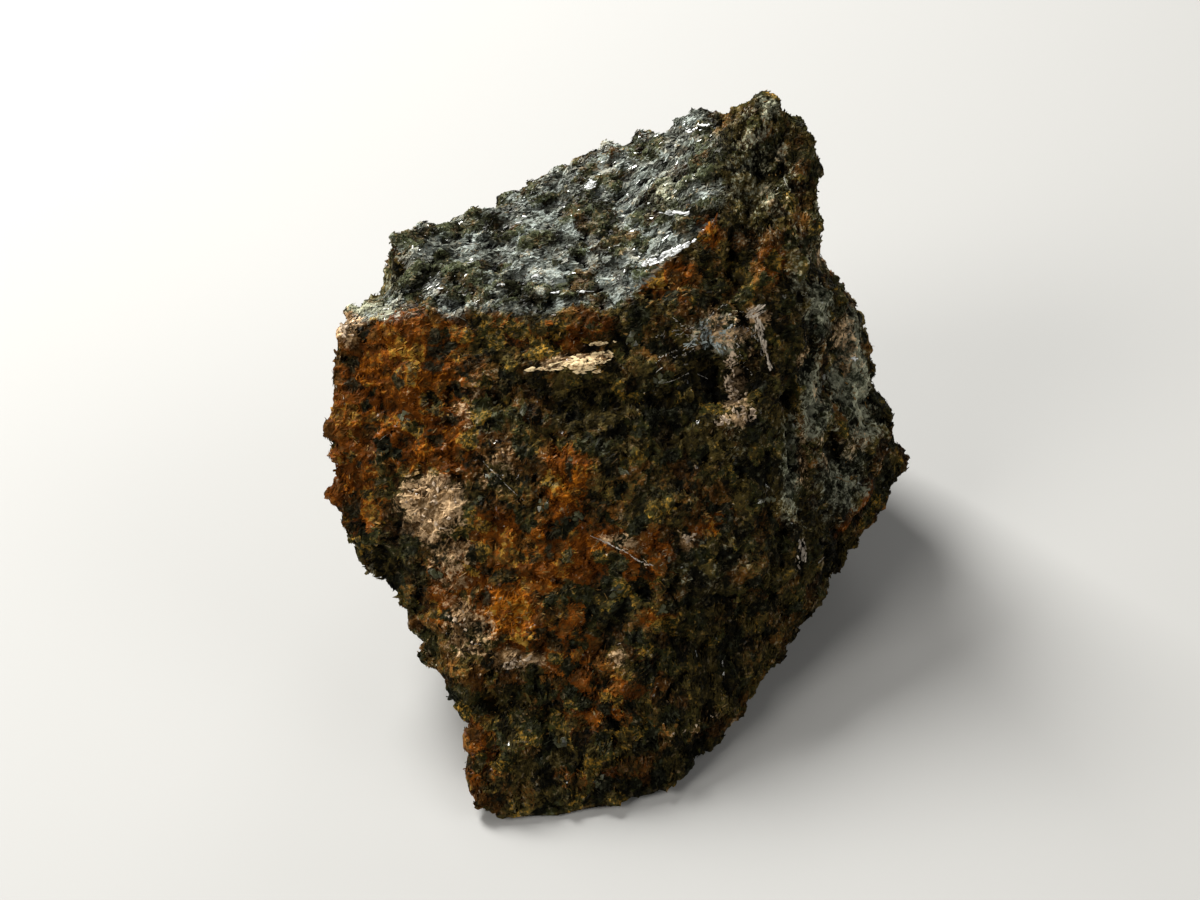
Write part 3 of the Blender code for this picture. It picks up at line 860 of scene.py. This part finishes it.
# lengths and widths in mm; a lift or sink is along the surface's normal
bladeSetups = {
    "frontCrystals": {
        "count": 24000, "length": (0.30, 0.95), "width": (0.18, 0.46), "flatness": 0.6, "shapes": (1, 6),
        "spread": 1.8, "lift": 0.04, "sink": 0.12, "seed": 11},
    "frontFelt": {
        "count": 12000, "length": (0.3, 0.8), "width": (0.04, 0.11), "flatness": 0.6, "shapes": (0, 2),
        "spread": 1.1, "lift": 0.03, "sink": -0.02, "seed": 23},
    "lowLaths": {
        "count": 18500, "length": (0.45, 1.25), "width": (0.12, 0.36), "flatness": 0.6, "shapes": (0, 4),
        "spread": 0.7, "lift": 0.03, "sink": 0.09, "seed": 37},
    "silverScales": {
        "count": 13000, "length": (0.25, 0.95), "width": (0.10, 0.34), "flatness": 0.25, "shapes": (0, 6),
        "spread": 0.7, "lift": 0.06, "sink": 0.01, "seed": 41},
    "darkGrains": {
        "count": 14500, "length": (0.25, 0.70), "width": (0.18, 0.42), "flatness": 0.8, "shapes": (3, 6),
        "spread": 1.6, "lift": 0.1, "sink": 0.08, "seed": 47},
    "sideLaths": {
        "count": 24000, "length": (0.35, 1.1), "width": (0.22, 0.55), "flatness": 0.55, "shapes": (1, 6),
        "spread": 1.3, "lift": 0.03, "sink": 0.14, "seed": 53},
    "sideFelt": {
        "count": 16000, "length": (0.35, 0.95), "width": (0.08, 0.20), "flatness": 0.6, "shapes": (0, 3),
        "spread": 0.9, "lift": 0.03, "sink": 0.02, "seed": 59},
}


# clusters of flakes and veins, each placed under pixels of the photograph

# a place is: across, down, half width, half height, turn in degrees, number of flakes
flakeSetup = {
    "creamFlakes": {
        "colours": ((0.20, 0.11, 0.04, 1), (0.76, 0.59, 0.33, 1)), "rough": 0.40, "shine": 0.4,
        "length": (0.25, 0.8), "width": (0.14, 0.32), "flatness": 0.3, "tumble": 0.16, "spread": 0.26,
        "rise": 0.09, "shapes": (0, 5), "seed": 11,
        "places": {
            "heart": (580, 363, 14, 8, 6, 70), "left": (558, 366, 17, 3.5, 8, 22),
            "right": (597, 359, 10, 6, 16, 26), "leftTip": (538, 369, 10, 1.5, 3, 6),
            "overline": (602, 343, 13, 1.0, 6, 9), "under": (588, 371, 13, 3, 2, 12),
            "corner": (609, 352, 4, 5, 60, 8)},
    },
    # painted highlights: white flakes where the plateau's edge streak, its glints and a glint on the shoulder
    # catch the light
    "whiteFlakes": {
        "colours": ((0.34, 0.35, 0.34, 1), (0.93, 0.95, 0.95, 1)), "rough": 0.25, "shine": 0.7,
        "length": (0.15, 0.55), "width": (0.08, 0.20), "flatness": 0.4, "tumble": 0.3, "spread": 0.4,
        "rise": 0.30, "shapes": (0, 6), "seed": 11,
        "places": {
            "edge": (655, 261, 13, 4.6, 20, 70), "edgeRise": (671, 253, 13, 3.2, 25, 50),
            "edgeEnd": (686, 246, 10, 1.5, 30, 22), "star": (590, 186, 6, 4, 30, 26),
            "sheen": (672, 213, 12, 2.5, 3, 14), "sheenEnd": (686, 215, 6, 1.5, 10, 5),
            "rimLeft": (536, 277, 5, 1, 10, 4), "rimMiddle": (570, 274, 5, 1, 5, 4),
            "farRight": (702, 128, 7, 2.5, 15, 8), "farMiddle": (690, 131, 8, 2.5, 15, 8),
            "speckLeft": (470, 262, 3, 1.5, 30, 3), "speckLow": (500, 285, 4, 1, 10, 3),
            "edgeSpeck": (556, 294, 4, 1, 0, 3), "edgeGlint": (585, 291, 5, 1, 5, 4),
            "speckHigh": (520, 225, 3, 1, 20, 2), "speckFar": (440, 290, 3, 1, 0, 2),
            "shoulder": (852, 359, 3.5, 3, 0, 5)},
    },
    "roseFlakes": {
        "colours": ((0.16, 0.115, 0.075, 1), (0.46, 0.35, 0.24, 1)), "rough": 0.50, "shine": 0.4,
        "length": (0.2, 0.5), "width": (0.12, 0.30), "flatness": 0.7, "tumble": 0.4, "spread": 1.5,
        "rise": 0.10, "shapes": (2, 6), "seed": 10,
        "places": {
            "bead": (727, 384, 5, 8, 10, 18), "column": (732, 360, 6, 16, 10, 26),
            "middle": (738, 396, 9, 7, 20, 12), "footLeft": (722, 421, 9, 4, 8, 20),
            "footRight": (750, 414, 8, 6, 30, 16), "footMiddle": (738, 412, 7, 5, 20, 10),
            "white": (517, 662, 14, 4, 14, 26), "bump": (645, 562, 5, 2.5, -20, 7),
            "shelf": (341, 322, 7, 11, 20, 26), "tan": (689, 536, 8, 6, 10, 16),
            "ledge": (700, 722, 30, 3, 24, 6), "lowLeft": (462, 628, 12, 20, 20, 8),
            "patch": (432, 505, 26, 26, 0, 24)},
    },
    "boneFlakes": {
        "colours": ((0.17, 0.13, 0.09, 1), (0.50, 0.43, 0.34, 1)), "rough": 0.40, "shine": 0.4,
        "length": (0.25, 0.65), "width": (0.10, 0.22), "flatness": 0.5, "tumble": 0.35, "spread": 0.3,
        "rise": 0.12, "shapes": (0, 4), "seed": 10,
        "places": {
            "knob": (755, 313, 9, 5, 35, 34), "spikeTop": (759, 326, 9, 4, -76, 22),
            "spike": (763, 342, 11, 2.4, -76, 20), "spikeTip": (768, 360, 12, 1, -76, 14),
            "sliver": (802, 550, 3.5, 14, 8, 24), "sliverFoot": (798, 562, 3, 6, 15, 7)},
    },
    "iceFlakes": {
        "colours": ((0.036, 0.044, 0.038, 1), (0.34, 0.39, 0.37, 1)), "rough": 0.22, "shine": 0.5,
        "length": (0.2, 0.6), "width": (0.08, 0.24), "flatness": 0.5, "tumble": 0.9, "spread": 0.8,
        "rise": 0.06, "shapes": (0, 6), "seed": 9,
        "places": {
            "heart": (706, 338, 11, 6, 80, 44), "right": (718, 347, 9, 4, -30, 20),
            "upper": (704, 326, 7, 4, 80, 14), "left": (694, 342, 10, 3, 20, 12),
            "arm": (724, 330, 14, 2, 28, 16)},
    },
    "darkGlass": {
        "colours": ((0.012, 0.013, 0.005, 1), (0.062, 0.062, 0.030, 1)), "rough": 0.20, "shine": 0.3,
        "length": (0.4, 0.8), "width": (0.3, 0.6), "flatness": 0.5, "tumble": 0.3, "spread": 1.0,
        "rise": 0.02, "shapes": (2, 6), "seed": 9,
        "places": {
            "streakEnd": (632, 341, 7, 5, 50, 5), "centre": (541, 504, 8, 6, 60, 6),
            "patchFoot": (581, 519, 8, 5, -50, 6), "seamLow": (765, 501, 12, 4, 5, 7),
            "seam": (791, 440, 4, 22, 2, 12), "arc": (659, 611, 8, 4, 10, 5), "hair": (492, 474, 6, 4, 30, 4),
            "low": (616, 590, 7, 4, 70, 5), "middle": (478, 500, 6, 4, 20, 4),
            "tail": (436, 572, 7, 4, -60, 5), "left": (404, 415, 8, 5, -40, 6),
            "under": (520, 410, 7, 5, 70, 5), "right": (660, 380, 7, 4, 50, 5),
            "foot": (600, 780, 7, 4, 60, 5), "footLeft": (560, 740, 7, 4, 80, 5),
            "shoulder": (824, 385, 8, 6, 40, 6), "heart": (622, 470, 8, 4, -30, 5),
            "plateau": (560, 262, 9, 4, 10, 6)},
    },
    "ochreFlakes": {
        "colours": ((0.080, 0.040, 0.008, 1), (0.25, 0.140, 0.036, 1)), "rough": 0.45, "shine": 0.2,
        "length": (0.20, 0.55), "width": (0.05, 0.17), "flatness": 0.6, "tumble": 0.5, "spread": 0.9,
        "rise": 0.03, "shapes": (0, 6), "seed": 11,
        "places": {
            "diagonal": (846, 516, 12, 2, 18, 9), "leftLow": (370, 455, 22, 26, 40, 18),
            "leftEdge": (352, 500, 10, 30, 0, 8), "upper": (420, 410, 30, 30, 0, 16),
            "stain": (520, 605, 30, 20, 10, 24), "low": (480, 650, 30, 24, 0, 18),
            "middle": (560, 600, 50, 30, 0, 22), "streaks": (560, 330, 80, 14, 3, 14),
            "underRidge": (672, 288, 24, 14, 20, 16), "right": (712, 514, 16, 8, 10, 12),
            "peak": (775, 230, 20, 40, 0, 16), "peakTop": (772, 150, 16, 30, 0, 12),
            # farGlint and nearGlint are painted yellow glints
            "foot": (520, 720, 40, 40, 0, 18), "farGlint": (700, 123, 2, 2, 0, 3),
            "nearGlint": (688, 206, 2, 1.5, 0, 3), "tip": (766, 100, 6, 6, 0, 3),
            "shoulder": (850, 390, 30, 40, 0, 20), "shoulderLow": (850, 460, 26, 26, 0, 12)},
    },
}

# fine veins: lines of splinters from pixel to pixel
veinSetup = {
    "colours": ((0.15, 0.135, 0.11, 1), (0.50, 0.47, 0.42, 1)), "rough": 0.40, "shine": 0.3,
    "length": (0.10, 0.36), "flatness": 0.8, "tumble": 0.6, "rise": 0.05, "shapes": (0, 5), "seed": 5,
    "step": 0.11,  # mm between splinters
    # kinds of vein: splinter width in mm, spread and drift, the share left out, and the lines
    "kinds": {
        "web": {"width": (0.02, 0.075), "spread": 0.75, "drift": 0.10, "gaps": 0.42, "lines": [
            [(655, 362), (672, 352), (695, 346), (707, 338), (730, 335), (748, 318), (762, 311)],
            [(655, 338), (678, 329), (701, 328), (722, 322), (742, 322)],
            [(672, 318), (690, 330), (706, 352)], [(712, 352), (728, 340), (744, 334), (757, 322)],
            [(697, 347), (684, 356), (666, 358)], [(720, 318), (738, 312), (756, 308)],
            [(752, 326), (759, 344), (766, 362)], [(734, 336), (740, 350), (746, 366), (757, 380)],
            [(696, 340), (684, 333), (668, 336)], [(730, 329), (742, 326), (752, 332), (756, 344)],
            [(700, 328), (708, 318), (722, 306), (735, 302)]]},
        "thick": {"width": (0.05, 0.11), "spread": 0.3, "drift": 0.05, "gaps": 0.15, "lines": [
            [(598, 538), (611, 545), (627, 553), (641, 562), (654, 566)]]},
        "hair": {"width": (0.02, 0.045), "spread": 0.12, "drift": 0.015, "gaps": 0.2, "lines": [
            [(483, 461), (499, 478), (516, 494), (534, 508)], [(664, 383), (678, 379), (691, 371)],
            [(697, 374), (711, 380)], [(656, 372), (664, 366)],
            [(591, 536), (600, 539), (612, 545)], [(380, 440), (396, 426), (406, 408)]]},
    },
}


def flakeMaterial(name, setup):
    material, web, shader = newMaterial(name)
    place = web.add("ShaderNodeTexCoord", None, None, "Object")
    luck = web.mark("luck")
    cloud = web.noise(place, 0.5, 3.0, 0.6) * 1.6 - 0.65 + luck * 0.9
    web.plug(shader.inputs["Base Color"], web.blend(web.step(cloud, 0.0, 0.9), *setup["colours"]))
    web.plug(shader.inputs["Roughness"], setup["rough"] + luck * 0.2)
    shader.inputs["Specular IOR Level"].default_value = setup["shine"]
    addBump(web, shader, place, 0.2, 0.5)
    return material


def placedTree(shelf, material):
    # a blade on each point, as its fields say
    web, given, close = geometryTree("placedBlades", (), ("FirstShape", "LastShape", "Seed"))
    way, facing, size = (web.field(name, "FLOAT_VECTOR") for name in ("grain", "facing", "size"))
    return close(laidShapes(web, shelf, given, given["Geometry"], way, facing, size, 0), material)


def layBlades(name, setup, blades, lucky, shelf):
    # blades of one kind, each given by its spot, way, facing and width
    count = len(blades)
    spots, ways, facings, wide = (np.array(column) for column in zip(*blades))
    ways -= (ways * facings).sum(axis=1, keepdims=True) * facings * 0.85
    facings = facings + setup["tumble"] * lucky.uniform(-1, 1, (count, 3))
    mesh = bpy.data.meshes.new(name)
    mesh.from_pydata([tuple(spot) for spot in spots], [], [])
    storeField(mesh, "grain", ways)
    storeField(mesh, "facing", facings)
    storeField(mesh, "luck", lucky.random(count))
    long = lucky.uniform(*setup["length"], count)
    storeField(mesh, "size", np.stack([long, wide, wide * setup["flatness"]], 1) * mm)
    tree = placedTree(shelf, flakeMaterial(name + "Skin", setup))
    first, last = setup["shapes"]
    return grown(newPiece(name, mesh), tree, {"FirstShape": first, "LastShape": last, "Seed": count})


def imageWay(turn, facing):
    # along the stone's surface, turned from the picture's rightward line
    turn = math.radians(turn)
    way = math.cos(turn) * right + math.sin(turn) * upward
    way = way - way @ facing * facing
    return way / np.linalg.norm(way)


def flakePiece(name, setup, tree, shelf):
    lucky = np.random.default_rng(setup["seed"])
    blades = []
    for u, v, wide, high, turn, count in setup["places"].values():
        angle = lucky.uniform(0, 2 * math.pi, count)
        reach = np.sqrt(lucky.random(count))
        across = wide * reach * np.cos(angle)
        down = high * reach * np.sin(angle)
        slope = math.radians(turn)
        seats = [pixelSeat(tree, u + x * math.cos(slope) + y * math.sin(slope),
                           v - x * math.sin(slope) + y * math.cos(slope)) for x, y in zip(across, down)]
        facing = np.array([seat[1] for seat in seats]).mean(axis=0) + 0.3 * toward
        facing /= np.linalg.norm(facing)
        lean = turn if wide >= high else turn + 90
        for seat in seats:
            spot = np.array(seat[0]) + facing * setup["rise"] * mm * lucky.uniform(0.3, 1.2)
            way = imageWay(lean, facing) + setup["spread"] * lucky.uniform(-1, 1, 3)
            blades.append((spot, way, facing, lucky.uniform(*setup["width"])))
    return layBlades(name, setup, blades, lucky, shelf)


def lineSeats(tree, line):
    # points of the surface along a line of pixels, four for each of its stretches
    seats = []
    for (u, v), (nextU, nextV) in zip(line, line[1:]):
        for share in (0, 0.25, 0.5, 0.75):
            seats.append(pixelSeat(tree, u + (nextU - u) * share, v + (nextV - v) * share))
    return seats


def veinPiece(name, setup, tree, shelf):
    lucky = np.random.default_rng(setup["seed"])
    blades = []
    for kind in setup["kinds"].values():
        for line in kind["lines"]:
            seats = lineSeats(tree, line)
            for (start, facing), (end, after) in zip(seats, seats[1:]):
                facing = np.array(facing + after) + 0.6 * toward
                facing /= np.linalg.norm(facing)
                way = np.array(end - start) / mm
                steps = max(1, round(np.linalg.norm(way) / setup["step"]))
                for step in range(steps):
                    if lucky.random() < kind["gaps"]:
                        continue
                    shift = way * (step + 0.5) / steps + kind["drift"] * lucky.uniform(-1, 1, 3)
                    spot = np.array(start) + (shift + facing * setup["rise"]) * mm
                    lean = way / np.linalg.norm(way) + kind["spread"] * lucky.uniform(-1, 1, 3)
                    blades.append((spot, lean, facing, lucky.uniform(*kind["width"])))
    return layBlades(name, setup, blades, lucky, shelf)


# making

stoneLook, bladeLook, scaleLook = (stoneMaterial(name) for name in stoneLooks)

stone = newPiece("stoneBody", stoneMesh)
remesh = stone.modifiers.new("even", "REMESH")
remesh.mode = "VOXEL"
remesh.voxel_size = stoneSetup["voxel"] * mm
settled(stone)
roundTip(stone.data)
coatFields(stone.data)
grown(stone, reliefTree(stoneLook), stoneSetup["heights"])
points, ground = coatFields(stone.data)
print("stone body", triangleCount(stone.data), "triangles")

# how thickly each coat lies where
front, low, peak, top, side, lump = (ground[name] for name in ("front", "low", "peak", "top", "side", "lump"))
shares = {
    "frontCrystals": front * (1 - 0.75 * low) * (1 - 0.5 * peak),
    "frontFelt": front * (1 - 0.3 * low) * (1 - 0.3 * peak) + 0.25 * top,
    "lowLaths": low + 0.9 * peak + 0.15 * front,
    "silverScales": top * (1 - 0.85 * lump),
    "darkGrains": top * (0.15 + 0.85 * lump) + 0.5 * peak,
    "sideLaths": side * (1 - 0.6 * peak),
    "sideFelt": side * (1 - 0.4 * peak),
}
cover = ramp(points[:, 2], 0.5, 1.5)  # none at the floor
cover *= 1 - 0.4 * ramp(points[:, 2], *tipSetup["few"])
cover *= (1 - 0.75 * ramp(ground["deep"], 0.06, 0.24)) * (1 - ramp(-ground["deep"], 0.35, 0.6))

shelf = chipShapes()
pieces = [stone]
for name, setup in bladeSetups.items():
    look = scaleLook if name == "silverScales" else bladeLook
    pieces.append(scatter(name, stone.data, shares[name] * cover, setup, shelf, look))

skinTree = surfaceTree(stone.data)
for name, setup in flakeSetup.items():
    pieces.append(flakePiece(name, setup, skinTree, shelf))
pieces.append(veinPiece("veinThreads", veinSetup, skinTree, shelf))
for shape in list(shelf.objects):
    bpy.data.objects.remove(shape)
bpy.data.collections.remove(shelf)
print("flakes and veins placed")

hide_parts("nuummite")
for piece in pieces:
    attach(piece, "root")


# floor and light

floorSetup = {"reach": 1.5, "colour": (0.32, 0.32, 0.315, 1), "rough": 0.8}  # its reach in m
# places and sizes in m, powers in W
lightSetup = {
    "key": {"spot": (-0.20, 0.24, 0.34), "size": 0.16, "power": 5.0, "colour": (1.0, 0.985, 0.95)},
    "fill": {"spot": (-0.42, -0.22, 0.34), "size": 0.24, "power": 2.6, "colour": (1.0, 0.97, 0.92)},
    "rim": {"spot": (0.10, 0.42, 0.30), "size": 0.16, "power": 0.4, "colour": (1.0, 0.99, 0.97)},
    "side": {"spot": (0.46, -0.06, 0.30), "size": 0.36, "power": 1.1, "colour": (1.0, 0.99, 0.97)},
}
roomSetup = {"colour": (1.0, 0.97, 0.92, 1), "strength": 0.10}
lightAim = Vector((0, 0, 0.015))  # m


def addFloor(setup):
    form = bmesh.new()
    bmesh.ops.create_grid(form, x_segments=1, y_segments=1, size=setup["reach"])
    floor = newPiece("floor", meshFrom(form, "floor"))
    material, web, shader = newMaterial("palePaper")
    shader.inputs["Base Color"].default_value = setup["colour"]
    shader.inputs["Roughness"].default_value = setup["rough"]
    floor.data.materials.append(material)


def addLights(setup):
    for name, values in setup.items():
        data = bpy.data.lights.new(name, "AREA")
        data.shape = "SQUARE"
        data.size = values["size"]
        data.energy = values["power"]
        data.color = values["colour"]
        light = bpy.data.objects.new(name, data)
        light.location = values["spot"]
        aim = lightAim - light.location
        light.rotation_euler = aim.to_track_quat("-Z", "Y").to_euler()
        bpy.context.scene.collection.objects.link(light)


def addRoom(setup):
    world = bpy.data.worlds.new("room")
    bpy.context.scene.world = world
    world.use_nodes = True
    background = world.node_tree.nodes["Background"]
    background.inputs["Color"].default_value = setup["colour"]
    background.inputs["Strength"].default_value = setup["strength"]


addFloor(floorSetup)
addLights(lightSetup)
addRoom(roomSetup)
bpy.context.scene.view_settings.view_transform = "Standard"
print("floor and lights done")
